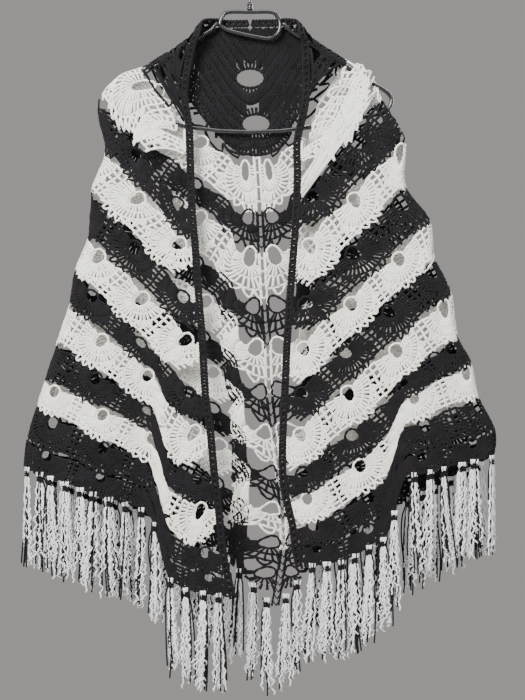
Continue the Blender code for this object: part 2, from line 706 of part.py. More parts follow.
def hook_ferrule(material, collection):
    """The small turned collar between the stem and the neck loop."""
    bottom = LOOP_TOP - WIRE_RADIUS - SEAM_GAP
    profile = ((0.0, FERRULE_TOP), (0.7, FERRULE_TOP), (1.0, FERRULE_TOP + 1.5 * MM), (1.0, bottom), (0.0, bottom))
    work = bmesh.new()
    points = [work.verts.new((share * FERRULE_RADIUS, 0.0, -drop)) for share, drop in profile]
    for one, following in zip(points, points[1:]):
        work.edges.new((one, following))
    mesh = bpy.data.meshes.new("hook_ferrule")
    work.to_mesh(mesh)
    work.free()
    mesh.materials.append(material)
    ferrule = bpy.data.objects.new("hook_ferrule", mesh)
    collection.objects.link(ferrule)
    turn = ferrule.modifiers.new("Turn", "SCREW")
    turn.steps = 16
    turn.render_steps = 16
    turn.use_merge_vertices = True
    turn.merge_threshold = 0.0001
    return ferrule


def make_material(name, colour, roughness, metallic=0.0):
    material = bpy.data.materials.new(name)
    material.use_nodes = True
    shader = material.node_tree.nodes["Principled BSDF"]
    shader.inputs["Base Color"].default_value = (*colour, 1.0)
    shader.inputs["Roughness"].default_value = roughness
    shader.inputs["Metallic"].default_value = metallic
    return material


def build():
    for item in list(bpy.data.objects):
        bpy.data.objects.remove(item)
    collection = bpy.data.collections.new("crochet_shawl")
    bpy.context.scene.collection.children.link(collection)
    ivory = (0.80, 0.79, 0.72)
    black = (0.012, 0.011, 0.013)
    front_wall("left", make_material("yarn_front_left", ivory, 0.95), collection)
    front_wall("right", make_material("yarn_front_right", ivory, 0.95), collection)
    back_wall(make_material("yarn_back", ivory, 0.95), collection)
    edging("left", make_material("yarn_edging_left", black, 0.95), collection)
    edging("right", make_material("yarn_edging_right", black, 0.95), collection)
    strands = 0
    for name, panel, first_share, last_share in FRINGES:
        yarn = make_material("yarn_" + name, ivory, 0.95)
        strands += fringe_strip(name, panel, first_share, last_share, yarn, collection, strands)
    hanger_frame(make_material("hanger_black", black, 0.25), collection)
    neck_loop(make_material("hanger_black_loop", black, 0.25), collection)
    hanger_hook(make_material("hook_black", black, 0.25), collection)
    hook_ferrule(make_material("ferrule_black", black, 0.3), collection)


build()
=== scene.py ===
import math

import bpy
import numpy as np
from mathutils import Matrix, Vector


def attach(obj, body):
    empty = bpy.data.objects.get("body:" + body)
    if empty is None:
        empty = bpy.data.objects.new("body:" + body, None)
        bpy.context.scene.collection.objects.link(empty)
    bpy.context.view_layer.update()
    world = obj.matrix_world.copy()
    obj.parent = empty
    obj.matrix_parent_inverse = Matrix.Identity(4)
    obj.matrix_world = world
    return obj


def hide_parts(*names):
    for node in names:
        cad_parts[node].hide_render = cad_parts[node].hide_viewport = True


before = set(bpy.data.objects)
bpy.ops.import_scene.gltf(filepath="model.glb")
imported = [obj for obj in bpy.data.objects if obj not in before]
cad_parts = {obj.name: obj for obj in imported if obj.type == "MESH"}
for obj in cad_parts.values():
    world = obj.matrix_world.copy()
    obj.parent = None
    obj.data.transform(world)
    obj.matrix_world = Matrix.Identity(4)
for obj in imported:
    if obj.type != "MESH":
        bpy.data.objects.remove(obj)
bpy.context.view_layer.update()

MM = 0.001

# Hanger, as in the solids
WIRE_RADIUS = 3.0 * MM
HOOK_WIRE_RADIUS = 2.0 * MM
HOOK_RADIUS = 20.0 * MM
HOOK_TIP_ANGLE = -25.0
FERRULE_TOP = 62.0 * MM
FERRULE_RADIUS = 4.5 * MM
LOOP_TOP = 75.0 * MM
HANGER_HALF = 212.0 * MM
ARM_START = (45.0 * MM, 93.0 * MM)
ARM_SLOPE = 0.65
ARM_CLEARANCE = 8.5 * MM
CROSSBAR_DROP = 255.0 * MM
SEAM_GAP = 0.3 * MM

# Cloth, as in the solids
BANDS = 13
IVORY_BANDS = (3, 5, 7, 9, 11)
SEAM_RUN = 3.0 * MM
TOP_DEPTH = 12.0 * MM
HEM_DEPTH = 25.0 * MM
SHOULDER_BAND = 2.6
FRONT_START = 0.8
NECK_CLEARANCE = 1.7 * MM
PLEAT_X = {"left": -133.0 * MM, "right": 217.0 * MM}  # where the fronts step down in a steep pleat
PLEAT_HALF = 0.06  # half its width, as a share of a row
STEP_BELOW = 0.32  # the part of a step that hangs below the row's straight line, inside the pleat
STEP_EASE = 0.25  # share of a row, from the front edge, over which that part grows
EDGING_HALF_WIDTH = 5.5 * MM
PANELS = ("front_left", "front_right", "back_left", "back_right")

# Where each band ends, in millimetres, as in the solids.
ROW_COLUMNS = ("band", "spine_x", "spine_drop", "back_bow",
               "left_fold_x", "left_fold_drop", "left_edge_x", "left_edge_drop", "left_step",
               "right_fold_x", "right_fold_drop", "right_edge_x", "right_edge_drop", "right_step")
ROWS = (
    (0.0, 0, 97, 0, 0, 97, 0, 97, 0, 0, 97, 0, 97, 0),
    (0.5, 0, 150, 4, -43, 97, -43, 97, 0, 46, 96, 46, 96, 0),
    (0.8, 0, 188, 10, -76, 94, -76, 95, 0, 77, 95, 77, 96, 0),
    (1.0, 0, 214, 15, -85, 107, -93, 130, 0, 87, 108, 89, 130, 0),
    (2.0, 10, 288, 34, -156, 157, -97, 252, 0, 142, 147, 77, 270, 0),
    (2.5, 13, 332, 25, -195, 172, -95, 310, 0, 179, 163, 77, 315, 0),
    (3.0, 15, 375, 13, -225, 205, -93, 365, 0, 195, 203, 76, 357, 0),
    (4.0, 18, 441, -11, -216, 282, -88, 425, 0, 231, 264, 72, 425, 0),
    (5.0, 22, 520, -15, -237, 345, -82, 507, 0, 232, 335, 65, 515, 0),
    (6.0, 27, 588, -32, -241, 411, -77, 567, 0, 268, 387, 61, 582, 0),
    (7.0, 30, 661, -42, -261, 462, -72, 650, 0, 276, 444, 58, 650, 0),
    (8.0, 38, 727, -60, -270, 513, -65, 702, 26, 300, 493, 55, 710, 0),
    (9.0, 46, 792, -66, -288, 570, -58, 777, 50, 310, 560, 55, 770, 14),
    (10.0, 50, 848, -78, -305, 625, -53, 815, 70, 330, 600, 61, 806, 41),
    (11.0, 51, 894, -62, -318, 665, -46, 882, 82, 341, 650, 70, 845, 63),
    (12.0, 45, 937, -50, -333, 715, -39, 920, 84, 366, 702, 74, 877, 74),
    (13.0, 38, 977, -38, -338, 757, -31, 952, 84, 365, 741, 80, 906, 80),
)

# Vertical folds of the hung cloth: panel, place and width as shares of a row, depth in millimetres,
# and the band where the fold starts.
FOLDS = (
    ("front_left", 0.12, 0.09, 7, 5),
    ("front_left", 0.27, 0.07, 9, 8),
    ("front_left", 0.42, 0.09, -10, 5),
    ("front_left", 0.66, 0.11, 11, 3),
    ("front_right", 0.12, 0.09, 8, 7),
    ("front_right", 0.36, 0.12, -9, 4),
    ("front_right", 0.64, 0.12, 12, 3),
    ("front_right", 0.86, 0.07, -7, 6),
    ("back_left", 0.13, 0.08, 8, 8),
    ("back_left", 0.38, 0.13, -8, 4),
    ("back_left", 0.68, 0.11, 11, 5),
    ("back_right", 0.10, 0.07, -9, 8),
    ("back_right", 0.34, 0.12, 10, 5),
    ("back_right", 0.62, 0.10, -9, 4),
    ("back_right", 0.82, 0.08, 8, 6),
)

# Stitch pattern, in millimetres: u runs along a row from the middle of a fan's hole, v towards the hem.
BAND_RISE = 57.0  # height of one band of fans
HOLE_DROP = 15.0  # from the top of a band to the middle of its holes
FAN_PITCH = 95.0
HALF_PITCH = FAN_PITCH / 2.0
SPINE_FAN = 24.0  # from the spine to the first fan
NECK_FAN = 62.0  # the same beside the big gaps at the neck
EDGE_FAN = 28.0  # from the front edge to the first fan
HOLE = (9.6, 12.4)  # half width and half height
FIRST_CHAIN = 24.0  # radius of the chain round the dense posts
SECOND_CHAIN = 37.0  # radius of the chain round the spaced posts
NET_REACH = 48.0  # radius of the tips of the net
FAN_ANGLE = 108.0  # degrees that a fan spreads to each side
NET_ANGLE = 72.0  # the same for its net
YARN = 1.9  # half the width of a chain
FLATNESS = 1.0  # half the thickness of the worked yarn
RING_STEP = 3.5  # between the rings of a chain's tube
SIDES = 5
LADDER_BARS = (-11.0, -1.5, 8.0, 17.5, 27.0)  # v of the bars between two fans
NECK_GAP = (21.5, 14.0)  # half width and half height of the big gaps at the neck
NECK_ROUND = 11.0  # height of a round of posts about them
POST_PITCH = 5.2  # between posts, halfway up such a round
NECK_GAPS = ((172.0, 1), (241.0, 3))  # drop of its middle, and rounds of posts below it
NECK_LEAN = 0.13  # the lower one lies further right, as the spine does
NECK_ROWS = (0.03, 0.14, 0.26, 0.38, 0.50, 0.62, 0.74, 0.86, 0.98, 1.14, 1.30, 1.46, 1.62, 1.78)  # in bands

# Fringe
TASSEL_PITCH = 25.0 * MM
FRINGE_LENGTH = 150.0 * MM
FRINGES = (
    ("fringe_front_left_1", "front_left", 0.01, 0.30),
    ("fringe_front_left_2", "front_left", 0.30, 0.66),
    ("fringe_front_left_3", "front_left", 0.66, 0.98),
    ("fringe_front_right_1", "front_right", 0.01, 0.42),
    ("fringe_front_right_2", "front_right", 0.42, 0.74),
    ("fringe_front_right_3", "front_right", 0.74, 0.98),
    ("fringe_back_left_1", "back_left", 0.01, 0.38),
    ("fringe_back_left_2", "back_left", 0.38, 0.94),
    ("fringe_back_right_1", "back_right", 0.01, 0.38),
    ("fringe_back_right_2", "back_right", 0.38, 0.94),
)

TABLE = {name: np.array([row[i] for row in ROWS], float) for i, name in enumerate(ROW_COLUMNS)}
SLOPES = {name: np.gradient(TABLE[name], TABLE["band"]) for name in ROW_COLUMNS}


# The cloth's form: the same map as in the solids, for arrays of points

def smooth_step(value, start, end):
    share = np.clip((value - start) / (end - start), 0.0, 1.0)
    return share * share * (3.0 - 2.0 * share)


def column(name, band):
    bands = TABLE["band"]
    i = np.clip(np.searchsorted(bands, band) - 1, 0, len(bands) - 2)
    span = bands[i + 1] - bands[i]
    u = (band - bands[i]) / span
    rise = 3.0 * u ** 2 - 2.0 * u ** 3
    start_turn = (u ** 3 - 2.0 * u ** 2 + u) * span
    end_turn = (u ** 3 - u ** 2) * span
    ends = TABLE[name][i] * (1.0 - rise) + TABLE[name][i + 1] * rise
    return ends + SLOPES[name][i] * start_turn + SLOPES[name][i + 1] * end_turn


def side_of(panel):
    return panel.split("_")[1]


def inner_end(panel, band):
    """Inner end of a row, on the spine or on the front edge, as (x, z)."""
    names = ("spine_x", "spine_drop")
    if panel.startswith("front"):
        names = (side_of(panel) + "_edge_x", side_of(panel) + "_edge_drop")
    return np.stack([column(names[0], band), -column(names[1], band)], -1) * MM


def outer_end(panel, band):
    """Outer end of a row, on the fold at the side or over the arm, as (x, z)."""
    x = column(side_of(panel) + "_fold_x", band) * MM
    drop = column(side_of(panel) + "_fold_drop", band) * MM
    on_arm = ARM_START[1] + (np.abs(x) - ARM_START[0]) * ARM_SLOPE - ARM_CLEARANCE
    held = (band > FRONT_START) & (band < SHOULDER_BAND)
    return np.stack([x, -np.where(held, np.minimum(drop, on_arm), drop)], -1)


def sag(panel, band, share):
    """How far a row hangs below the line between its ends: steep at the spine, stepped at a pleat."""
    if panel.startswith("back"):
        return column("back_bow", band) * MM * 6.75 * share * (1.0 - share) ** 2
    side = side_of(panel)
    start = inner_end(panel, band)[..., 0]
    wide = outer_end(panel, band)[..., 0] - start
    wide = np.where(np.abs(wide) > 1e-6, wide, 1.0)
    pleat = np.where(band > FRONT_START + 0.2, (PLEAT_X[side] - start) / wide, 0.5)
    turn = smooth_step(share, pleat - PLEAT_HALF, pleat + PLEAT_HALF)
    below = STEP_BELOW * (1.0 - turn) * smooth_step(share, 0.0, STEP_EASE)
    above = (1.0 - STEP_BELOW) * turn * (1.0 - share) / (1.0 - pleat)
    return column(side + "_step", band) * MM * (below - above)


def depth(band):
    return TOP_DEPTH + (HEM_DEPTH - TOP_DEPTH) * smooth_step(band, 1.5, 9.0)


def lift(panel, band):
    neck = TOP_DEPTH * (1.0 - smooth_step(band, 0.5, 0.8)) if panel.startswith("back") else 0.0 * band
    poke = 0.0 * band
    if side_of(panel) == "right":
        poke = 5.5 * MM * smooth_step(band, 2.1, 2.5) * (1.0 - smooth_step(band, 3.6, 3.9))
    return np.maximum(np.maximum(neck, poke), SEAM_GAP / 2.0)


def row_length(panel, band):
    flat = np.linalg.norm(outer_end(panel, band) - inner_end(panel, band), axis=-1)
    turn = depth(band) - SEAM_RUN
    return np.maximum(flat + SEAM_RUN + turn * (math.pi / 2.0 - 1.0), 1e-5)


def fold_relief(panel, band, share):
    total = 0.0
    for name, place, width, height, first_band in FOLDS:
        if name == panel:
            ramp = smooth_step(band, first_band, BANDS + 1.0)
            total = total + height * MM * ramp * np.exp(-((share - place) / width) ** 2)
    return total * smooth_step(share, 0.0, 0.06) * smooth_step(1.0 - share, 0.0, 0.12)


def panel_points(panel, band, share):
    """Points of the cloth's middle in one panel."""
    start = inner_end(panel, band)
    end = outer_end(panel, band)
    reach = np.maximum(np.linalg.norm(end - start, axis=-1), 1e-9)
    from_fold = (1.0 - share) * row_length(panel, band)
    radius = depth(band) - SEAM_RUN
    angle = np.clip((from_fold - SEAM_RUN) / radius, 0.0, math.pi / 2.0)
    inward = radius * (1.0 - np.cos(angle)) + np.maximum(from_fold - SEAM_RUN - radius * math.pi / 2.0, 0.0)
    out = np.minimum(from_fold, SEAM_RUN) + radius * np.sin(angle)
    at_fold = lift(panel, band)
    out = at_fold + out * (depth(band) - at_fold) / depth(band)
    out = out + fold_relief(panel, band, share)
    q = np.minimum(inward / reach, 1.0)
    place = end + (start - end) * q[..., None]
    facing = 1.0 if panel.startswith("back") else -1.0
    return np.stack([place[..., 0], facing * out, place[..., 1] - sag(panel, band, 1.0 - q)], -1)


def half_lengths(side, band):
    """Lengths of a row from the spine to the fold and from the fold to the front edge."""
    front = np.where(band >= FRONT_START, row_length("front_" + side, band), 0.0)
    return row_length("back_" + side, band), front


def cloth(along, band):
    """Points of the cloth's middle at signed distances along its rows from the spine, left ones negative."""
    points = np.zeros(along.shape + (3,))
    for side, chosen in (("left", along < 0.0), ("right", along >= 0.0)):
        back, front = half_lengths(side, band)
        run = np.abs(along)
        on_back = chosen & (run <= back)
        on_front = chosen & (run > back)
        points[on_back] = panel_points("back_" + side, band[on_back], (run / back)[on_back])
        share = 1.0 - (run - back) / np.maximum(front, 1e-6)
        points[on_front] = panel_points("front_" + side, band[on_front], share[on_front])
    return points


def cloth_frame(along, band):
    """Points of the cloth's middle and the outward directions there."""
    step = 0.4 * MM
    band_step = 0.01
    here = cloth(along, band)
    by_row = cloth(along + step, band) - cloth(along - step, band)
    top = np.maximum(band - band_step, 0.0)
    by_band = cloth(along, np.minimum(band + band_step, BANDS)) - cloth(along, top)
    normal = np.cross(by_row, by_band)
    return here, normal / np.maximum(np.linalg.norm(normal, axis=-1, keepdims=True), 1e-12)


# Tubes: yarn and wire

def unit(vectors):
    return vectors / np.maximum(np.linalg.norm(vectors, axis=-1, keepdims=True), 1e-12)


def tube_arrays(centres, hints, half_width, half_thickness, sides, closed=False):
    """Vertices, quads, cap polygons and texture places of tubes with equally many rings.

    centres is (tubes, rings, 3), hints a direction square to the tube at each ring, and the two halves are
    (tubes, rings). Texture places are turns round the tube and metres along it.
    """
    tubes, rings = centres.shape[:2]
    if closed:
        ahead = np.roll(centres, -1, 1) - np.roll(centres, 1, 1)
    else:
        ahead = np.gradient(centres, axis=1)
    ahead = unit(ahead)
    across = unit(np.cross(hints, ahead))
    out = np.cross(ahead, across)
    turn = 2.0 * math.pi * np.arange(sides) / sides
    ring = (across[:, :, None, :] * (half_width[:, :, None] * np.cos(turn))[..., None]
            + out[:, :, None, :] * (half_thickness[:, :, None] * np.sin(turn))[..., None])
    vertices = (centres[:, :, None, :] + ring).reshape(-1, 3)
    spans = rings if closed else rings - 1
    base = (np.arange(tubes) * rings * sides)[:, None, None]
    i = np.arange(spans)[None, :, None]
    j = np.arange(sides)[None, None, :]
    following = (i + 1) % rings
    nearby = (j + 1) % sides
    quads = np.stack([base + i * sides + j, base + i * sides + nearby,
                      base + following * sides + nearby, base + following * sides + j], -1).reshape(-1, 4)
    lengths = np.linalg.norm(np.diff(centres, axis=1), axis=-1)
    places = np.concatenate([np.zeros((tubes, 1)), np.cumsum(lengths, 1)], 1)
    if closed:
        places = np.concatenate([places, places[:, -1:] + lengths[:, -1:]], 1)
    near = np.broadcast_to(places[:, :spans, None], (tubes, spans, sides))
    far = np.broadcast_to(places[:, 1:spans + 1, None], (tubes, spans, sides))
    left = np.broadcast_to(j / sides, (tubes, spans, sides))
    right = left + 1.0 / sides
    coords = np.stack([np.stack([left, near], -1), np.stack([right, near], -1),
                       np.stack([right, far], -1), np.stack([left, far], -1)], 3).reshape(-1, 4, 2)
    caps = []
    if not closed:
        first = (np.arange(tubes) * rings * sides)[:, None] + np.arange(sides)[::-1][None]
        last = (np.arange(tubes) * rings * sides + (rings - 1) * sides)[:, None] + np.arange(sides)[None]
        caps = np.concatenate([first, last])
    return vertices, quads, caps, coords


class Yarn:
    """A growing mesh of tubes, with a material number for each lot of tubes."""

    def __init__(self, sides):
        self.sides = sides
        self.vertices, self.quads, self.caps, self.coords = [], [], [], []
        self.quad_slots, self.cap_slots = [], []
        self.count = 0

    def add(self, centres, hints, half_width, half_thickness, slot=0, closed=False):
        made = tube_arrays(centres, hints, half_width, half_thickness, self.sides, closed)
        vertices, quads, caps, coords = made
        self.vertices.append(vertices)
        self.quads.append(quads + self.count)
        self.coords.append(coords)
        self.quad_slots.append(np.full(len(quads), slot))
        if len(caps):
            self.caps.append(caps + self.count)
            self.cap_slots.append(np.full(len(caps), slot))
        self.count += len(vertices)

    def build(self, name, materials, slot, nodes):
        """Make the object, which rides on the one body and stands for the named nodes."""
        quads = np.concatenate(self.quads)
        caps = np.concatenate(self.caps) if self.caps else np.zeros((0, self.sides), int)
        mesh = bpy.data.meshes.new(name)
        mesh.vertices.add(self.count)
        mesh.vertices.foreach_set("co", np.concatenate(self.vertices).astype(np.float32).ravel())
        corners = np.concatenate([quads.ravel(), caps.ravel()])
        mesh.loops.add(len(corners))
        mesh.loops.foreach_set("vertex_index", corners.astype(np.int32))
        cap_starts = len(quads) * 4 + np.arange(len(caps)) * self.sides
        starts = np.concatenate([np.arange(len(quads)) * 4, cap_starts])
        mesh.polygons.add(len(starts))
        mesh.polygons.foreach_set("loop_start", starts.astype(np.int32))
        mesh.polygons.foreach_set("use_smooth", np.ones(len(starts), bool))
        mesh.update(calc_edges=True)
        slots = np.concatenate(self.quad_slots + self.cap_slots)
        mesh.polygons.foreach_set("material_index", slots.astype(np.int32))
        layer = mesh.uv_layers.new(name="yarn")
        cap_coords = np.zeros((caps.size, 2))
        places = np.concatenate([np.concatenate(self.coords).reshape(-1, 2), cap_coords])
        layer.data.foreach_set("uv", places.astype(np.float32).ravel())
        for material in materials:
            mesh.materials.append(material)
        piece = bpy.data.objects.new(name, mesh)
        bpy.context.scene.collection.objects.link(piece)
        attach(piece, "root")
        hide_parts(*nodes)
        return piece


# Stitches of one fan and its ladder, as strands of (u, v, height off the cloth, half width, half thickness)

def arc(radius, degrees):
    angle = np.radians(degrees)
    return np.stack([radius * np.sin(angle), radius * np.cos(angle)], -1)


def chain_strand(route, half_width=YARN, height=0.5):
    """A chain of stitches along a route of (u, v) points: a tube that swells at each stitch."""
    route = np.asarray(route, float)
    lengths = np.concatenate([[0.0], np.cumsum(np.linalg.norm(np.diff(route, axis=0), axis=-1))])
    count = max(int(lengths[-1] / RING_STEP) | 1, 3)
    places = np.linspace(0.0, lengths[-1], count)
    line = np.stack([np.interp(places, lengths, route[:, k]) for k in (0, 1)], -1)
    swell = 1.0 + 0.2 * np.where(np.arange(count) % 2, 1.0, -1.0)
    return np.column_stack([line, np.full(count, height), half_width * swell, np.full(count, FLATNESS)])


def post_strand(foot, head, foot_width, head_width, random):
    """One tall stitch: narrow at the foot, with a full waist and a wide head."""
    share = np.linspace(0.0, 1.0, 4)
    line = np.outer(1.0 - share, foot) + np.outer(share, head)
    width = foot_width + (head_width - foot_width) * share
    width = width * np.array([0.95, 1.0, 0.94, 1.04]) * random.uniform(0.93, 1.07)
    height = 0.9 * np.sin(math.pi * share) * random.uniform(0.3, 1.0)
    return np.column_stack([line, height, width, np.full(4, FLATNESS)])


def fan_strands(seed):
    """Dense posts round the hole, a row of spaced posts, their chains and the net at the lower edge."""
    random = np.random.default_rng(seed)
    strands = []
    span = 2.0 * FAN_ANGLE
    sweep = np.linspace(-FAN_ANGLE, FAN_ANGLE, 40)
    rim = np.stack([HOLE[0] * np.sin(np.radians(sweep)), HOLE[1] * np.cos(np.radians(sweep))], -1)
    strands.append(chain_strand(rim, 1.8, 0.0))
    for degrees in np.linspace(-FAN_ANGLE, FAN_ANGLE, int(span / 12.0) + 1):
        angle = math.radians(degrees)
        foot = np.array([HOLE[0] * math.sin(angle), HOLE[1] * math.cos(angle)])
        head = arc(FIRST_CHAIN, degrees + random.uniform(-2.0, 2.0))
        strands.append(post_strand(foot, head, 1.35, 2.75, random))
    strands.append(chain_strand(arc(FIRST_CHAIN, sweep)))
    for degrees in np.linspace(-FAN_ANGLE * 0.97, FAN_ANGLE * 0.97, int(span / 9.5) + 1):
        foot = arc(FIRST_CHAIN + 0.6, degrees + random.uniform(-1.2, 1.2))
        head = arc(SECOND_CHAIN - 0.6, degrees + random.uniform(-1.2, 1.2))
        strands.append(post_strand(foot, head, 2.0, 2.6, random))
    strands.append(chain_strand(arc(SECOND_CHAIN, sweep)))
    meshes = np.linspace(-NET_ANGLE, NET_ANGLE, int(2.0 * NET_ANGLE / 16.0) + 1)
    for start, end in zip(meshes, meshes[1:]):
        middle = (start + end) / 2.0 + random.uniform(-2.0, 2.0)
        tip = NET_REACH + random.uniform(-1.0, 1.5)
        route = np.array([arc(SECOND_CHAIN, start), arc(tip - 1.5, middle - 3.0), arc(tip, middle),
                          arc(tip - 1.5, middle + 3.0), arc(SECOND_CHAIN, end)])
        strands.append(chain_strand(route, 2.1))
    return strands


def top_strands():
    """The chain arch over a hole."""
    sweep = np.linspace(-FAN_ANGLE, FAN_ANGLE, 24)
    angle = np.radians(180.0 - sweep * 0.72)
    route = np.stack([HOLE[0] * 1.15 * np.sin(angle), HOLE[1] * 1.08 * np.cos(angle)], -1)
    return [chain_strand(route, 1.9, 0.0)]


def ladder_strands(direction, with_centre):
    """Open squares beside a fan, from its second chain to the middle between two fans."""
    routes = [((math.sqrt(SECOND_CHAIN ** 2 - v ** 2), v), (HALF_PITCH, v + 1.0)) for v in LADDER_BARS]
    routes.append(((36.5, 15.0), (37.5, 27.0), (37.0, 38.0)))
    routes.append(((19.0, 36.5), (29.0, 37.0), (HALF_PITCH, 36.0)))
    strands = [chain_strand([(direction * u, v) for u, v in route], 2.0, 0.2) for route in routes]
    if with_centre:
        centre = direction * HALF_PITCH
        strands.append(chain_strand([(centre, -14.0), (centre, 41.0)], 2.2, 0.4))
    return strands


def fan_centres(side, number):
    """Places of the fans of one band: signed distances along the row from the spine, and their pitch."""
    sign = -1.0 if side == "left" else 1.0
    band = number - 1 + HOLE_DROP / BAND_RISE
    back, front = half_lengths(side, np.array(band))
    total = float(back + front)
    start = (SPINE_FAN if number > 2 else NECK_FAN) * MM
    run = total - start - EDGE_FAN * MM
    count = max(int(run / (FAN_PITCH * MM) + 0.5), 0)
    if run < 10.0 * MM:
        return []
    pitch = run / max(count, 1)
    return [(sign * (start + pitch * k), pitch) for k in range(count + 1)]


def local_shape(along, band):
    """The cloth about a place: a band's height there, and along the row the columns' lean and the rise.

    The lean is how far columns shift along the row per metre of height. The rise is that of the row itself.
    """
    side = "left" if along < 0.0 else "right"
    back, front = half_lengths(side, np.array(band))
    step = 1.0 * MM
    edge = float(back + front) - 4.0 * step
    samples = np.clip(along + np.arange(-75.0, 75.1, 15.0) * MM, -edge, edge)
    level = np.full(len(samples), band)
    corner = [cloth(samples + shift, np.clip(level + drop, 0.02, BANDS))[:, [0, 2]]
              for shift, drop in ((-step, 0.0), (step, 0.0), (0.0, -0.4), (0.0, 0.4))]
    row = unit(corner[1] - corner[0])
    down = (corner[3] - corner[2]) / (min(band + 0.4, BANDS) - max(band - 0.4, 0.02))
    heights = np.abs(down[:, 1] * row[:, 0] - down[:, 0] * row[:, 1])
    heights = np.maximum(heights, 12.0 * MM)
    lean = -(down * row).sum(axis=1) / heights
    fold_run = half_lengths(side, np.array([band - 0.3, band + 0.3]))[0]
    fold_lean = (1.0 if along > 0.0 else -1.0) * (fold_run[1] - fold_run[0]) / 0.6 / heights
    from_fold = np.abs(np.abs(samples) - float(back))
    near_fold = 1.0 - smooth_step(from_fold, 10.0 * MM, 60.0 * MM)
    keep = smooth_step(np.abs(samples), 10.0 * MM, 70.0 * MM)
    lean = np.clip(lean * keep, -1.3, 1.3) * (1.0 - near_fold) + fold_lean * near_fold
    middle = len(samples) // 2
    level_z = cloth(samples, level)[:, 2]
    rise = (level_z - level_z[middle]) / max(abs(down[middle, 1]), 20.0 * MM)
    return heights[middle], samples, lean, rise, abs(row[middle, 0])


def lay_strands(yarns, strands, along, band, u_scale=1.0, limits=(-1.0, 1.0), shape=None, upright=False):
    """Lay a fan's strands on the cloth; those beyond the cloth's edges are dropped or end there."""
    groups = {}
    for strand in strands:
        groups.setdefault(len(strand), []).append(strand)
    low, high = limits
    for lot in groups.values():
        data = np.array(lot)
        bands = band + data[..., 1] / BAND_RISE
        places = along + data[..., 0] * MM * u_scale
        if shape:
            height, samples, lean, rise, level = shape
            if upright:
                weight = 1.0 - smooth_step(np.abs(data[..., 0]), 16.0, 46.0)
                places = along + data[..., 0] * MM * (u_scale + (1.0 / level - 1.0) * weight)
                bands = bands + np.interp(places, samples, rise) * weight
            places = places + np.interp(places, samples, lean) * data[..., 1] / BAND_RISE * height
        bands_in = np.clip(bands, 0.03, BANDS - 0.01)
        edge = np.zeros_like(places)
        for side, chosen in (("left", places < 0.0), ("right", places >= 0.0)):
            back, front = half_lengths(side, bands_in)
            edge = np.where(chosen, back + front - 1.2 * MM, edge)
        within = (np.abs(places) <= edge) & (bands <= BANDS + 0.01) & (bands >= 0.02)
        within &= (places >= low) & (places <= high)
        kept = within.mean(axis=1) > 0.55
        if not kept.any():
            continue
        data, bands_in, places, edge = data[kept], bands_in[kept], places[kept], edge[kept]
        places = np.clip(np.clip(places, -edge, edge), low, high)
        points, normals = cloth_frame(places, bands_in)
        open_here = in_neck_gap(points).any(axis=1)
        if open_here.all():
            continue
        found = (data, bands_in, places, points, normals)
        data, bands_in, places, points, normals = [one[~open_here] for one in found]
        centres = points + normals * (data[..., 2] * MM)[..., None]
        back_runs = np.where(places[:, 0] < 0.0, half_lengths("left", bands_in[:, 0])[0],
                             half_lengths("right", bands_in[:, 0])[0])
        is_back = np.abs(places).mean(axis=1) <= back_runs
        left = places.mean(axis=1) < 0.0
        for panel, chosen in (("back_left", is_back & left), ("back_right", is_back & ~left),
                              ("front_left", ~is_back & left), ("front_right", ~is_back & ~left)):
            if chosen.any():
                halves = data[chosen][..., 3:5] * MM
                yarns[panel].add(centres[chosen], normals[chosen], halves[..., 0], halves[..., 1])


def neck_rows():
    """Plain rows of posts that fill the cloth round the big gaps at the neck, as strands about the top."""
    random = np.random.default_rng(3)
    strands = []
    for top, bottom in zip(NECK_ROWS, NECK_ROWS[1:]):
        lengths = [float(row_length("back_" + side, np.array(bottom))) for side in ("left", "right")]
        reach = min(lengths) / MM
        places = np.arange(-reach + 2.0, reach - 2.0, 4.9)
        low = bottom * BAND_RISE
        for u in places:
            strands.append(chain_strand([(u - 2.5, low), (u + 2.5, low)], 1.9, 0.3))
            head = np.array([u + random.uniform(-0.8, 0.8), low])
            strands.append(post_strand(np.array([u, top * BAND_RISE]), head, 1.9, 2.5, random))
    return strands


def in_neck_gap(points):
    """Which points of the cloth lie in the big gaps at the neck."""
    inside = np.zeros(points.shape[:-1], bool)
    for drop, _ in NECK_GAPS:
        across = points[..., 0] / (NECK_GAP[0] * MM) - NECK_LEAN * (drop - NECK_GAPS[0][0]) / NECK_GAP[0]
        down = (points[..., 2] + drop * MM) / (NECK_GAP[1] * MM)
        inside |= (across ** 2 + down ** 2 < 1.15) & (points[..., 1] > 0.0)
    return inside


